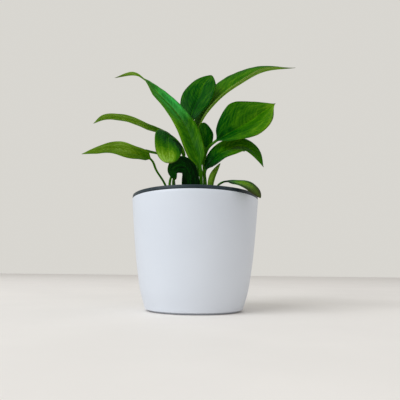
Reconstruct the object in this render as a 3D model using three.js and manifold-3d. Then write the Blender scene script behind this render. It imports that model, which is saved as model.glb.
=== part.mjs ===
// Potted peace lily: a young plant in potting soil, in a dark liner that hangs in a white planter.
// Millimetres, +Z up. The origin is the centre of the planter's foot, on the surface it stands on.
// The plant's front is towards -Y, its right towards +X.

import * as THREE from 'three';
import { mergeVertices } from 'three/addons/utils/BufferGeometryUtils.js';
import Module from 'manifold-3d';

const wasm = await Module();
wasm.setup();

// ---- driving dimensions -------------------------------------------------------------------

const aroundPot = 48;              // facets round the planter, the liner and the soil
const edgeRound = 0.8;             // how far the rims' edges are taken off

const planterHeight = 110.5;
const planterRimRadius = 65;
const planterWall = 2.2;
const planterFloor = 4.2;          // height of the inside floor
const planterCorner = 2.5;         // slope between its inside wall and floor
const planterSideSteps = 10;
const footRadius = 44.5;
const footHeight = 1.6;
const footInset = 3.6;             // how far the foot stands back from the bottom edge

const lipGap = 0.3;                // between the planter's rim and the lip that rests on it
const lipHeight = 3.2;
const lipRadius = 64.8;
const linerTopRadius = 61.4;       // outside, just under the lip
const linerBottomRadius = 43;
const linerBase = 13;              // height of the underside of its floor
const linerWall = 1.6;
const linerCorner = 2;             // slope between its outside wall and floor
const drainCount = 6;
const drainRadius = 3;
const drainCircle = 27;
const drainFacets = 12;

const soilGap = 0.4;               // between the soil and the liner
const soilEdgeHeight = 102.6;
const soilMiddleHeight = 104.6;
const soilBump = 0.7;              // height of the lumps on the soil
const soilRings = 6;
const footLift = 1;                // height above the soil where a stalk starts to lean
const rootDepth = 12;              // how far a stalk stands in the soil
const holeGap = 0.5;               // between a stalk and the side of its hole
const holeFloorGap = 0.4;          // between a stalk and the bottom of its hole
const holeFacets = 10;
const cutPast = 6;                 // how far the tool for a hole reaches past the surface

const bladeThickness = 0.8;
const stalkSteps = 6;              // rings along a stalk
const bladeSteps = 15;             // rings along a blade
const ringSpacing = 0.92;          // 1 is even; below 1 the blade's rings lie closer at its tip
const acrossBlade = [-1, -0.5, 0, 0.5, 1];
const outlinePower = 1.15;         // of the blade's outline, where a leaf's point is 1
const wavesAlong = 2;              // waves in each edge of a blade
const waveShift = 1.9;             // between the waves of its two edges, in radians
const midribHeight = 1.3;          // under the blade's base, in stalk radii
const midribTaper = 0.8;
const sheathHeight = 1.1;          // half the sheath's thickness at the foot, in stalk radii
const sheathLength = 0.7;          // the part of the stalk over which the sheath narrows

// ---- leaves -------------------------------------------------------------------------------
// foot: where the stalk leaves the soil.
// stalk: points that the stalk passes on its way up.
// blade: points on the midrib, from the blade's base to its tip.
// width: across the blade at its widest, which is at the part `wide` of its length.
// point: how sharply the blade narrows to its two ends, and tip: how much more so at its tip.
// fold: how far each half is raised from flat, in degrees, and curl: how far it bends back.
// roll: turn about the midrib, in degrees, at even steps from the base to the tip.
// wave: height of the waves in the blade's edges, as a part of the half width.
// thick: radius of the stalk where it meets the blade. sheath: half its width at the foot.

const usualLeaf = {
  wide: 0.42, point: 1.4, tip: 1, fold: 16, curl: 18, roll: [0, 0], wave: 0.04, thick: 1.3,
  sheath: 1.9, colour: 'mid',
};

const leaves = {
  leaf_long_left: {
    foot: [5.8, -10], stalk: [[5.8, -10, 127]], thick: 1.8, sheath: 2.4,
    blade: [
      [5, -9, 143], [-2.5, -6, 168], [-11, -2, 191], [-26, 6, 215], [-43, 14, 236],
      [-61.5, 22, 259], [-77, 28, 269], [-100, 34, 267],
    ],
    width: 23.5, wide: 0.28, point: 1.2, fold: 24, curl: 20, roll: [-82, -60, -50, -46, 2, 35],
  },
  leaf_upright_back: {
    foot: [-7, 9], stalk: [[-6, 9, 131], [-7, 9, 170]], thick: 1.6, sheath: 3.4, colour: 'dark',
    blade: [[-8, 9, 200], [0.5, 18, 233], [8, 25, 255], [17, 30, 270]],
    width: 41, wide: 0.56, point: 0.95, tip: 1.5, curl: 20, roll: [28, 28],
  },
  leaf_small_back: {
    foot: [9, 11], stalk: [[9, 9.5, 140], [8, 9, 158]], sheath: 1.8, thick: 1, colour: 'dark',
    blade: [[10.5, 9, 172], [10, 10, 188], [9, 13, 203]],
    width: 20, wide: 0.5, point: 1.15, fold: 14, curl: 14, roll: [10, 10],
  },
  leaf_long_right: {
    foot: [1, 9], stalk: [[2, 15, 151]], thick: 1.6, sheath: 2.4,
    blade: [
      [0, 21, 190], [7, 25, 213], [28, 30, 241.5], [52, 36, 262.5], [82, 42, 282], [124, 50, 292],
    ],
    width: 53, wide: 0.53, point: 1.5, tip: 2.2, fold: 28, curl: 14, roll: [13, 16, 19, 22, 29, 29],
  },
  leaf_broad_right: {
    foot: [13, 4], stalk: [[10.5, 5, 130], [9, 5.5, 155], [13, 4, 170]], thick: 1.4, sheath: 2.2,
    blade: [[21, 0, 176.5], [50, 7, 197.2], [92, 24, 232]],
    width: 57, wide: 0.5, point: 1.6, tip: 1.55, fold: 28, curl: 20, roll: [52, 52],
  },
  leaf_drooping_right: {
    foot: [12, -6], stalk: [[10, -5, 126]], thick: 1.4, sheath: 2,
    blade: [
      [10, -6, 142], [18, -5.5, 153], [27, -1, 163], [38, 5, 170.5], [47, 9, 174.5],
      [56, 10, 173.5], [64.3, 8, 166.5], [73.5, 6, 149.5],
    ],
    width: 27, wide: 0.48, point: 1.1, tip: 1.2, fold: 18, curl: 20, roll: [48, 50],
  },
  leaf_mid_left: {
    foot: [-15, 4], stalk: [[-24, 4, 130], [-18, 4, 150], [-12, 3, 161]],
    blade: [[-23, 2, 180], [-54, 8, 195], [-86, 13, 207], [-105, 17, 209], [-118, 20, 203]],
    width: 30, wide: 0.47, point: 1.3, tip: 1.4, fold: 12, curl: 16,
  },
  leaf_hanging_front: {
    foot: [-19, -5], stalk: [[-27, -4, 128], [-20, -4, 147], [-13, -5, 157]], colour: 'light',
    blade: [[-16, -14, 164], [-20, -26, 168], [-26, -38, 167], [-25, -52, 152], [-23, -57, 135]],
    width: 28, wide: 0.6, point: 1.0, fold: 12, curl: 20, roll: [-55, -15],
  },
  leaf_low_left: {
    foot: [-25, -1], stalk: [[-32, 0, 128], [-41.5, -2, 143]], thick: 1.2, sheath: 1.8, colour: 'light',
    blade: [[-47, -4, 154], [-65, -8, 160], [-89, -12, 163], [-118, -15, 156]],
    width: 28.5, wide: 0.37, point: 1.2, tip: 1.3, fold: 12, curl: 16, roll: [14, 14], wave: 0.06,
  },
  leaf_behind_left: {
    foot: [-20, 9], stalk: [[-23, 8, 131], [-26, 12, 150]], sheath: 1.7, colour: 'dark',
    blade: [[-37, 20, 166], [-53, 30, 173], [-76, 42, 178]],
    width: 18, point: 1.3, fold: 12, curl: 16,
  },
  leaf_folded_front: {
    foot: [-6, -12], stalk: [], thick: 2, sheath: 3, colour: 'dark',
    blade: [
      [-5, -13, 110], [-5, -15, 126], [-6, -16, 136], [-9, -18, 142], [-14, -21, 144],
      [-20.5, -25, 141], [-23, -28, 135], [-19.5, -30, 126],
    ],
    width: 20, wide: 0.35, point: 0.75, fold: 12, curl: 10, roll: [-135, -45],
  },
  leaf_young_right: {
    foot: [18, -2], stalk: [], thick: 1.9, sheath: 2, colour: 'light',
    blade: [[16, -2, 119], [18, -3, 136], [26, -5, 151]],
    width: 9, wide: 0.45, point: 1.3, fold: 40, curl: 0, roll: [-60, -60], wave: 0,
  },
  leaf_small_rim: {
    foot: [18, -13], stalk: [[21, -26, 120]], thick: 1.1, sheath: 1.7,
    blade: [[28, -34, 124], [42, -47, 120], [52, -55, 113], [59, -60, 103]],
    width: 19, wide: 0.5, point: 1.3, fold: 12, curl: 20, roll: [20, 20], wave: 0.05,
  },
  leaf_arching_back: {
    foot: [1, 17], stalk: [[2, 18, 130]], sheath: 2,
    blade: [[2, 22, 150], [4, 45, 183], [5, 75, 203], [6, 100, 194]],
    width: 21, fold: 18, curl: 20, wave: 0.05,
  },
  leaf_low_back_left: {
    foot: [-9, 16], stalk: [[-12, 22, 117]], thick: 1.2, sheath: 1.8,
    blade: [[-18, 32, 127], [-34, 52, 133], [-52, 74, 124], [-60, 88, 108]],
    width: 26, fold: 18, curl: 20, wave: 0.05,
  },
  leaf_low_back_right: {
    foot: [11, 17], stalk: [[14, 24, 117]], thick: 1.2, sheath: 1.8, colour: 'dark',
    blade: [[20, 34, 128], [38, 56, 132], [52, 80, 122], [58, 92, 106]],
    width: 26, fold: 18, curl: 20, wave: 0.05,
  },
};

const leafColours = { dark: '#1d5a1c', mid: '#3c7f22', light: '#7aa52e' };

// ---- materials ----------------------------------------------------------------------------

function satinPlastic() {
  return new THREE.MeshStandardMaterial({ color: '#dfe3ea', roughness: 0.42, metalness: 0 });
}

function darkPlastic() {
  return new THREE.MeshStandardMaterial({ color: '#2b323c', roughness: 0.55, metalness: 0 });
}

function pottingSoil() {
  return new THREE.MeshStandardMaterial({ color: '#2e2118', roughness: 0.95, metalness: 0 });
}

function leafGreen(shade) {
  return new THREE.MeshStandardMaterial({ color: leafColours[shade], roughness: 0.38, metalness: 0 });
}

// ---- geometry helpers ---------------------------------------------------------------------

function toSolid(geometry) {
  const bare = geometry.clone();
  bare.deleteAttribute('normal');
  bare.deleteAttribute('uv');
  const merged = mergeVertices(bare, 1e-4);
  const mesh = new wasm.Mesh({
    numProp: 3,
    vertProperties: new Float32Array(merged.attributes.position.array),
    triVerts: new Uint32Array(merged.index.array),
  });
  return new wasm.Manifold(mesh);
}

function toGeometry(solid) {
  const mesh = solid.getMesh();
  const geometry = new THREE.BufferGeometry();
  geometry.setAttribute('position', new THREE.BufferAttribute(mesh.vertProperties, 3));
  geometry.setIndex(new THREE.BufferAttribute(mesh.triVerts, 1));
  geometry.computeVertexNormals();
  return geometry;
}

// A solid of revolution about Z, from a profile of [radius, height] pairs
// that starts and ends on the axis.
function turned(profile) {
  const points = profile.map(([radius, height]) => new THREE.Vector2(radius, height));
  return new THREE.LatheGeometry(points, aroundPot).rotateX(Math.PI / 2);
}

function uprightCylinder(radius, low, high, x, y, facets) {
  const geometry = new THREE.CylinderGeometry(radius, radius, high - low, facets);
  return geometry.rotateX(Math.PI / 2).translate(x, y, (low + high) / 2);
}

function named(name, geometry, material) {
  const mesh = new THREE.Mesh(geometry, material);
  mesh.name = name;
  return mesh;
}

// ---- planter, liner and soil --------------------------------------------------------------

// The planter's side: nearly straight at the top, drawn in more and more towards the foot.
const planterSide = new THREE.SplineCurve([
  new THREE.Vector2(footRadius + footInset + edgeRound, footHeight + 2 * edgeRound),
  new THREE.Vector2(53.6, 19),
  new THREE.Vector2(57.7, 42),
  new THREE.Vector2(60.9, 67),
  new THREE.Vector2(63.2, 90),
  new THREE.Vector2(planterRimRadius, planterHeight - edgeRound),
]);

function planter() {
  const outside = planterSide.getPoints(planterSideSteps).map((p) => [p.x, p.y]);
  const inside = outside
    .filter(([, height]) => height > planterFloor + planterCorner)
    .map(([radius, height]) => [radius - planterWall, height])
    .reverse();
  const floorRadius = inside.at(-1)[0] - planterCorner;
  const profile = [
    [0, 0],
    [footRadius, 0],
    [footRadius, footHeight],
    [footRadius + footInset, footHeight],
    ...outside,
    [planterRimRadius - edgeRound, planterHeight],
    [planterRimRadius - planterWall + edgeRound / 2, planterHeight],
    ...inside,
    [floorRadius, planterFloor],
    [0, planterFloor],
  ];
  return named('planter', turned(profile), satinPlastic());
}

const lipLow = planterHeight + lipGap;
const lipTop = lipLow + lipHeight;
const linerFloor = linerBase + linerWall;      // height of the liner's inside floor

// Inside radius of the liner, which widens evenly from its floor to its lip.
function linerInside(height) {
  const part = (height - linerFloor) / (lipTop - linerFloor);
  return THREE.MathUtils.lerp(linerBottomRadius, linerTopRadius, part) - linerWall;
}

function liner() {
  const profile = [
    [0, linerBase],
    [linerBottomRadius - linerCorner, linerBase],
    [linerBottomRadius, linerBase + linerCorner],
    [linerTopRadius, lipLow - edgeRound],
    [linerTopRadius + edgeRound / 2, lipLow],
    [lipRadius, lipLow],
    [lipRadius, lipTop - edgeRound],
    [lipRadius - edgeRound, lipTop],
    [linerInside(lipTop) + edgeRound, lipTop],
    [linerInside(lipTop - edgeRound), lipTop - edgeRound],
    [linerInside(linerFloor), linerFloor],
    [0, linerFloor],
  ];
  let solid = toSolid(turned(profile));
  for (let i = 0; i < drainCount; i += 1) {
    const turn = (2 * Math.PI * i) / drainCount;
    const x = drainCircle * Math.cos(turn);
    const y = drainCircle * Math.sin(turn);
    const low = linerBase - cutPast;
    const high = linerFloor + cutPast;
    const hole = uprightCylinder(drainRadius, low, high, x, y, drainFacets);
    solid = solid.subtract(toSolid(hole));
  }
  return named('liner', toGeometry(solid), darkPlastic());
}

// Lumps on the soil: slow waves across it, with quicker ones at half their height.
function soilLump(x, y) {
  const slow = Math.sin(x / 4.3 + 1.3) * Math.cos(y / 5.3);
  const quick = Math.sin(x / 2.4 - y / 2.7);
  return soilBump * (slow + quick / 2);
}

function soil() {
  const low = linerFloor + soilGap;
  const lowRadius = linerInside(low) - soilGap;
  const highRadius = linerInside(soilEdgeHeight) - soilGap;
  const profile = [[0, low], [lowRadius, low], [highRadius, soilEdgeHeight]];
  for (let i = soilRings - 1; i >= 0; i -= 1) {
    const part = i / soilRings;
    const height = THREE.MathUtils.lerp(soilMiddleHeight, soilEdgeHeight, part * part);
    profile.push([highRadius * part, height]);
  }
  const geometry = turned(profile);
  const position = geometry.attributes.position;
  const halfway = (low + soilEdgeHeight) / 2;
  for (let i = 0; i < position.count; i += 1) {
    const x = position.getX(i);
    const y = position.getY(i);
    const height = position.getZ(i);
    if (height > halfway) {
      position.setZ(i, height + soilLump(x, y));
    }
  }
  let solid = toSolid(geometry);
  for (const leaf of Object.values(leaves)) {
    const [x, y] = leaf.foot;
    const radius = (leaf.sheath ?? usualLeaf.sheath) + holeGap;
    const bottom = soilMiddleHeight - rootDepth - holeFloorGap;
    const top = soilMiddleHeight + cutPast;
    const hole = uprightCylinder(radius, bottom, top, x, y, holeFacets);
    solid = solid.subtract(toSolid(hole));
  }
  return named('soil', toGeometry(solid), pottingSoil());
}

// ---- leaves -------------------------------------------------------------------------------

// Half the blade's width at a part of its length, from 0 at the base to 1 at the tip.
function halfWidth(leaf, along) {
  const rise = Math.pow(along / leaf.wide, leaf.wide);
  const fall = Math.pow((1 - along) / (1 - leaf.wide), 1 - leaf.wide);
  const sharpness = leaf.point * outlinePower * (along > leaf.wide ? leaf.tip : 1);
  return (leaf.width / 2) * Math.pow(rise * fall, sharpness);
}

function rollAt(leaf, along) {
  const place = along * (leaf.roll.length - 1);
  const step = Math.min(Math.floor(place), leaf.roll.length - 2);
  return THREE.MathUtils.lerp(leaf.roll[step], leaf.roll[step + 1], place - step);
}

const ringSize = acrossBlade.length * 2;

// A stalk's section, as [across, height] pairs: an ellipse, flat and wide where it is a sheath.
function stalkShape(across, height) {
  const shape = [];
  for (let i = 0; i < ringSize; i += 1) {
    const turn = Math.PI * (1 - (i + 0.5) / (ringSize / 2));
    shape.push([across * Math.cos(turn), height * Math.sin(turn)]);
  }
  return shape;
}

// A blade's section: two halves raised from the midrib, with the stalk's end as a ridge below.
function bladeShape(leaf, along) {
  const halfSpan = halfWidth(leaf, along);
  const ridge = leaf.thick * midribHeight * Math.pow(1 - along, midribTaper);
  const middle = acrossBlade.map((across) => {
    const away = Math.abs(across);
    const angle = THREE.MathUtils.degToRad(leaf.fold - (leaf.curl * away) / 2);
    const ripple = Math.sin(2 * Math.PI * wavesAlong * along + (across > 0 ? 0 : waveShift));
    const lift = halfSpan * (away * Math.sin(angle) + leaf.wave * across * across * ripple);
    return [halfSpan * across * Math.cos(angle), lift];
  });
  const top = middle.map(([across, height]) => [across, height + bladeThickness / 2]);
  const bottom = middle.map(([across, height]) => [across, height - bladeThickness / 2]).reverse();
  bottom[(acrossBlade.length - 1) / 2][1] -= ridge;
  return [...top, ...bottom];
}

// A leaf's path: up the stalk and along the midrib, in one smooth curve. The blade starts at
// the part bladeStart of its length, and `level` is the level direction across the blade.
function leafPath(leaf) {
  const foot = [...leaf.foot, soilMiddleHeight + footLift];
  const points = [foot, ...leaf.stalk, ...leaf.blade].map((p) => new THREE.Vector3(...p));
  const curve = new THREE.CatmullRomCurve3(points);
  const lengths = curve.getLengths();
  const baseNumber = 1 + leaf.stalk.length;
  const baseShare = baseNumber / (points.length - 1);
  const bladeStart = lengths[Math.round((lengths.length - 1) * baseShare)] / lengths.at(-1);
  const heading = points.at(-1).clone().sub(points[baseNumber]);
  const level = new THREE.Vector3(heading.y, -heading.x, 0).normalize();
  return { curve, bladeStart, level };
}

// A section's points in space, square to the path and turned about it by `roll`.
function placedRing(centre, tangent, level, roll, shape) {
  const side = level.clone().addScaledVector(tangent, -level.dot(tangent)).normalize();
  side.applyAxisAngle(tangent, THREE.MathUtils.degToRad(roll));
  const up = side.clone().cross(tangent);
  return shape.map(([across, height]) => (
    centre.clone().addScaledVector(side, across).addScaledVector(up, height)
  ));
}

// A closed skin over rings of points, from a point inside the first ring to one past the last.
// Both faces of the blade are split along the same diagonals.
function skinOver(rings, start, end) {
  const triangles = [];
  for (let r = 0; r + 1 < rings.length; r += 1) {
    for (let i = 0; i < ringSize; i += 1) {
      const a = r * ringSize + i;
      const b = r * ringSize + ((i + 1) % ringSize);
      const c = b + ringSize;
      const d = a + ringSize;
      if (i < ringSize / 2) {
        triangles.push(a, b, c, a, c, d);
      } else {
        triangles.push(a, b, d, b, c, d);
      }
    }
  }
  const vertices = [...rings.flat(), start, end];
  const lastRing = (rings.length - 1) * ringSize;
  for (let i = 0; i < ringSize; i += 1) {
    const j = (i + 1) % ringSize;
    triangles.push(vertices.length - 2, j, i);
    triangles.push(vertices.length - 1, lastRing + i, lastRing + j);
  }
  const geometry = new THREE.BufferGeometry().setFromPoints(vertices);
  geometry.setIndex(triangles);
  geometry.computeVertexNormals();
  return geometry;
}

// A leaf is one skin: rings round the stalk that open out into the blade's sections.
function leafGeometry(leaf) {
  const { curve, bladeStart, level } = leafPath(leaf);
  const root = new THREE.Vector3(...leaf.foot, soilMiddleHeight - rootDepth);
  const upright = new THREE.Vector3(0, 0, 1);
  const footShape = stalkShape(leaf.sheath, leaf.thick * sheathHeight);
  const rings = [placedRing(root, upright, level, leaf.roll[0], footShape)];
  for (let i = 0; i <= stalkSteps; i += 1) {
    const at = (bladeStart * i) / stalkSteps;
    const narrowed = Math.min(1, i / stalkSteps / sheathLength);
    const shape = stalkShape(THREE.MathUtils.lerp(leaf.sheath, leaf.thick, narrowed), leaf.thick);
    rings.push(placedRing(curve.getPointAt(at), curve.getTangentAt(at), level, leaf.roll[0], shape));
  }
  for (let i = 1; i < bladeSteps; i += 1) {
    const along = Math.pow(i / bladeSteps, ringSpacing);
    const at = THREE.MathUtils.lerp(bladeStart, 1, along);
    const roll = rollAt(leaf, along);
    const shape = bladeShape(leaf, along);
    rings.push(placedRing(curve.getPointAt(at), curve.getTangentAt(at), level, roll, shape));
  }
  return skinOver(rings, root, curve.getPointAt(1));
}

// ---- assembly -----------------------------------------------------------------------------

const pottedPlant = new THREE.Group();
pottedPlant.add(planter(), liner(), soil());
for (const [name, given] of Object.entries(leaves)) {
  const leaf = { ...usualLeaf, ...given };
  pottedPlant.add(named(name, leafGeometry(leaf), leafGreen(leaf.colour)));
}

export default pottedPlant;
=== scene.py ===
import math
import random

import bpy
from mathutils import Matrix, Vector, noise


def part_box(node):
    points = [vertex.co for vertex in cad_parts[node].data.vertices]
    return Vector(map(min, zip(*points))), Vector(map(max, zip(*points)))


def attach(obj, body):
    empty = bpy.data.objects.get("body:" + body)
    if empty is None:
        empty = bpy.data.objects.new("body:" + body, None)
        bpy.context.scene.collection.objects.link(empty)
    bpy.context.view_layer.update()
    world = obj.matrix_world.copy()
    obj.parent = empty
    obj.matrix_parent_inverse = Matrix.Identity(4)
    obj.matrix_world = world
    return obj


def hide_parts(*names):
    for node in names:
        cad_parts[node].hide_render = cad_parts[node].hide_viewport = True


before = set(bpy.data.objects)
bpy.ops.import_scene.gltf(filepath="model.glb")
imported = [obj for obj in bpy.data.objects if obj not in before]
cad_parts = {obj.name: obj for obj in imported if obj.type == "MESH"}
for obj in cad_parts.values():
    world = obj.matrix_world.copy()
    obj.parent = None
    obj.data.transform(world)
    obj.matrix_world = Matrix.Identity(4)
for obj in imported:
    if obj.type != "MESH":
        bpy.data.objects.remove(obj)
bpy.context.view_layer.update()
bpy.context.scene.view_settings.view_transform = "Standard"

# Potted peace lily. The plant's front is towards -Y, its right towards +X. Blender works in metres.
# The dictionaries give lengths in millimetres, unless they say otherwise.
mm = 0.001


# shader helpers

noiseSpread = (0.3, 0.7)    # most of a noise lies between these


class Signal:
    # a value in a shader: an expression on signals adds the Math nodes for it
    def __init__(self, recipe, socket):
        self.recipe = recipe
        self.socket = socket

    def maths(self, operation, *values):
        return self.recipe.node("ShaderNodeMath", {"operation": operation}, dict(enumerate(values)))

    def __add__(self, other):
        return self.maths("ADD", self, other)

    def __radd__(self, other):
        return self.maths("ADD", other, self)

    def __sub__(self, other):
        return self.maths("SUBTRACT", self, other)

    def __rsub__(self, other):
        return self.maths("SUBTRACT", other, self)

    def __mul__(self, other):
        return self.maths("MULTIPLY", self, other)

    def __rmul__(self, other):
        return self.maths("MULTIPLY", other, self)

    def __pow__(self, other):
        return self.maths("POWER", self, other)

    def __abs__(self):
        return self.maths("ABSOLUTE", self)

    def cosine(self):
        return self.maths("COSINE", self)

    def largest(self, other):
        return self.maths("MAXIMUM", self, other)

    def rise(self, start, end):
        # 0 before start and 1 after end, with a smooth rise between them
        return self.recipe.node(
            "ShaderNodeMapRange",
            {"interpolation_type": "SMOOTHSTEP"},
            {"Value": self, "From Min": start, "From Max": end},
        )


class Recipe:
    # one material, with its Principled shader as skin
    def __init__(self, name):
        self.material = bpy.data.materials.new(name)
        self.material.use_nodes = True
        self.tree = self.material.node_tree
        self.skin = self.tree.nodes["Principled BSDF"]

    def node(self, kind, settings=None, inputs=None, output=0):
        node = self.tree.nodes.new(kind)
        for key, value in (settings or {}).items():
            if key == "stops":
                self.setStops(node.color_ramp, value)
            else:
                setattr(node, key, value)
        for key, value in (inputs or {}).items():
            self.feed(node.inputs[key], value)
        return Signal(self, node.outputs[output])

    def setStops(self, ramp, stops):
        while len(ramp.elements) < len(stops):
            ramp.elements.new(0.5)
        for element, (place, colour) in zip(ramp.elements, stops):
            element.position = place
            element.color = (*colour, 1)

    def feed(self, socket, value):
        if isinstance(value, Signal):
            self.tree.links.new(value.socket, socket)
        elif socket.type == "RGBA":
            socket.default_value = (*value, 1)
        else:
            socket.default_value = value

    def finish(self, **sockets):
        # a socket's name is written as one word, such as BaseColor
        for socket in self.skin.inputs:
            given = sockets.get(socket.name.replace(" ", ""))
            if given is not None:
                self.feed(socket, given)
        return self.material

    def place(self):
        return self.node("ShaderNodeTexCoord", output="Object")

    def attribute(self, name):
        return self.node("ShaderNodeAttribute", {"attribute_name": name}, output="Fac")

    def vector(self, x, y, z):
        return self.node("ShaderNodeCombineXYZ", {}, {"X": x, "Y": y, "Z": z})

    def noise(self, scale, detail, place=None):
        where = place or self.place()
        return self.node("ShaderNodeTexNoise", {}, {"Vector": where, "Scale": scale, "Detail": detail})

    def mix(self, factor, first, second):
        # the Mix node's colours are its inputs 6 and 7 and its output 2
        settings = {"data_type": "RGBA"}
        return self.node("ShaderNodeMix", settings, {0: factor, 6: first, 7: second}, output=2)

    def bump(self, height, depth, strength):
        inputs = {"Height": height, "Distance": depth * mm, "Strength": strength}
        return self.node("ShaderNodeBump", {}, inputs)


def lerp(a, b, part):
    return a + (b - a) * part


def smooth(value, start, end):
    part = min(1, max(0, (value - start) / (end - start)))
    return part * part * (3 - 2 * part)


def curvePoint(points, t):
    # a smooth curve through all the points, with its knots spread by the root of their distance
    last = len(points) - 1
    i = min(int(t * last), last - 1)
    w = t * last - i
    b, c = points[i], points[i + 1]
    a = points[i - 1] if i > 0 else 2 * b - c
    d = points[i + 2] if i + 2 <= last else 2 * c - b
    ab, bc, cd = (b - a).length ** 0.5, (c - b).length ** 0.5, (d - c).length ** 0.5
    leave = ((b - a) / ab - (c - a) / (ab + bc) + (c - b) / bc) * bc
    arrive = ((c - b) / bc - (d - b) / (bc + cd) + (d - c) / cd) * bc
    second = 3 * (c - b) - 2 * leave - arrive
    third = 2 * (b - c) + leave + arrive
    return b + w * leave + w**2 * second + w**3 * third


# camera at the photo's place

cameraSetup = {
    "place": (4.9, -403, 36.5),
    "pitch": 10.6,                # degrees above level
    "tilt": 0.59,                 # degrees
    "lens": 35.19,
    "sensor": 36,
    "clipStart": 10,
}


def makeCamera():
    bpy.ops.object.camera_add()
    camera = bpy.context.object
    camera.name = "photoCamera"
    turn = Matrix.Rotation(math.radians(90 + cameraSetup["pitch"]), 4, "X")
    tilt = Matrix.Rotation(math.radians(cameraSetup["tilt"]), 4, "Z")
    camera.matrix_world = Matrix.Translation(Vector(cameraSetup["place"]) * mm) @ turn @ tilt
    camera.data.lens = cameraSetup["lens"]
    camera.data.sensor_width = cameraSetup["sensor"]
    camera.data.clip_start = cameraSetup["clipStart"] * mm
    bpy.context.scene.camera = camera
    print("camera placed")


# turned pieces: planter, liner and soil

turnedDetail = {
    "seam": 0.01,           # points closer together than this are merged
    "smoothAngle": 40,      # degrees
}


def clearSelection():
    if bpy.context.mode != "OBJECT":
        bpy.ops.object.mode_set(mode="OBJECT")
    bpy.ops.object.select_all(action="DESELECT")


def makeTurned(name, profile, steps):
    # spins a profile of (radius, height) in metres, from the axis to the axis, into a closed body
    clearSelection()
    bpy.ops.mesh.primitive_circle_add(vertices=3, radius=mm)
    piece = bpy.context.object
    piece.name = name
    bpy.ops.object.mode_set(mode="EDIT")
    bpy.ops.mesh.select_all(action="SELECT")
    bpy.ops.mesh.merge(type="CENTER")
    bpy.ops.transform.translate(value=(profile[0][0], 0, profile[0][1]))
    for (radius, height), (nextRadius, nextHeight) in zip(profile, profile[1:]):
        step = (nextRadius - radius, 0, nextHeight - height)
        bpy.ops.mesh.extrude_vertices_move(TRANSFORM_OT_translate={"value": step})
    bpy.ops.mesh.select_all(action="SELECT")
    bpy.ops.mesh.spin(steps=steps, angle=2 * math.pi, center=(0, 0, 0), axis=(0, 0, 1))
    bpy.ops.mesh.select_all(action="SELECT")
    bpy.ops.mesh.remove_doubles(threshold=turnedDetail["seam"] * mm)
    bpy.ops.mesh.normals_make_consistent(inside=False)
    bpy.ops.object.mode_set(mode="OBJECT")
    return piece


def applyModifiers(piece):
    bpy.context.view_layer.objects.active = piece
    for modifier in list(piece.modifiers):
        bpy.ops.object.modifier_apply(modifier=modifier.name)


def standFor(piece, node, material):
    # hands a finished piece over: it rides on the pot's only body and is shown for the CAD node
    piece.data.materials.clear()
    piece.data.materials.append(material)
    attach(piece, "root")
    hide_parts(node)


planterShape = {
    "footRadius": 44.5,
    "footHeight": 1.6,
    "footInset": 3.6,       # how far the foot stands back from the bottom edge
    "wall": 2.2,
    "floor": 4.2,
    "side": [(48.9, 3.2), (53.6, 19), (57.7, 42), (60.9, 67), (63.2, 90)],   # radius, height
    "sideSteps": 40,        # faces up the side
    "round": 0.8,           # size of the rounded edges
    "steps": 144,           # faces round the pot
}

planterFinish = {
    # noise patterns: scale and detail
    "cloud": (9, 3),
    "peel": (160, 2),
    "grain": (900, 2),
    "white": [(0.64, 0.675, 0.745), (0.685, 0.72, 0.785)],   # the cloud goes from one to the other
    "roughness": 0.27,
    "cloudRoughness": 0.10,
    "grainRoughness": 0.08,
    "grainHeight": 0.35,    # where the peel's is 1
    "bump": (0.04, 0.35),   # depth and strength
}


def satinWhite():
    finish = planterFinish
    recipe = Recipe("satinWhitePlastic")
    cloud = recipe.noise(*finish["cloud"])
    grain = recipe.noise(*finish["grain"])
    peel = recipe.noise(*finish["peel"])
    uneven = cloud * finish["cloudRoughness"] + grain * finish["grainRoughness"]
    return recipe.finish(
        BaseColor=recipe.mix(cloud.rise(*noiseSpread), *finish["white"]),
        Roughness=uneven + finish["roughness"],
        Normal=recipe.bump(grain * finish["grainHeight"] + peel, *finish["bump"]),
    )


def makePlanter():
    shape = planterShape
    low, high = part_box("planter")
    rimRadius, rimHeight = high.x, high.z
    edge = shape["round"] * mm
    sidePoints = [Vector((radius * mm, 0, height * mm)) for radius, height in shape["side"]]
    sidePoints.append(Vector((rimRadius, 0, rimHeight - edge)))
    steps = shape["sideSteps"]
    side = [curvePoint(sidePoints, i / steps) for i in range(steps + 1)]
    outside = [(p.x, p.z) for p in side]
    wall = shape["wall"] * mm
    floor = shape["floor"] * mm
    inside = []
    for radius, height in reversed(outside):
        if height > floor + 2 * edge:
            inside.append((radius - wall, height))
    foot = shape["footRadius"] * mm
    footTop = shape["footHeight"] * mm
    under = foot + shape["footInset"] * mm
    profile = [
        (0, low.z),
        (foot - edge, low.z),
        (foot, low.z + edge / 2),
        (foot, footTop),
        (under - edge / 2, footTop),
        (under + edge / 2, footTop + edge / 2),
        *outside,
        (rimRadius - 0.25 * edge, rimHeight - 0.35 * edge),
        (rimRadius - edge, rimHeight),
        (rimRadius - wall + edge, rimHeight),
        (rimRadius - wall + 0.2 * edge, rimHeight - 0.3 * edge),
        *inside,
        (inside[-1][0] - edge, floor + 0.6 * edge),
        (inside[-1][0] - 3 * edge, floor),
        (0, floor),
    ]
    piece = makeTurned("planter_shell", profile, shape["steps"])
    bpy.ops.object.shade_smooth_by_angle(angle=math.radians(turnedDetail["smoothAngle"]))
    standFor(piece, "planter", satinWhite())
    print("planter made")


linerShape = {
    "lipRadius": 64.8,
    "lipHeight": 3.2,
    "topRadius": 61.4,      # outside, as the next
    "bottomRadius": 43,
    "wall": 1.6,
    "round": 0.8,           # size of the rounded edges
    "corner": 2,            # of the outer bottom edge
    "steps": 144,           # faces round the pot
    "holes": 6,             # drain holes in the floor
    "holeRadius": 3,
    "holeCircle": 27,       # from the middle to each hole
    "holeSides": 32,
    "drillLength": 12,
}

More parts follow.
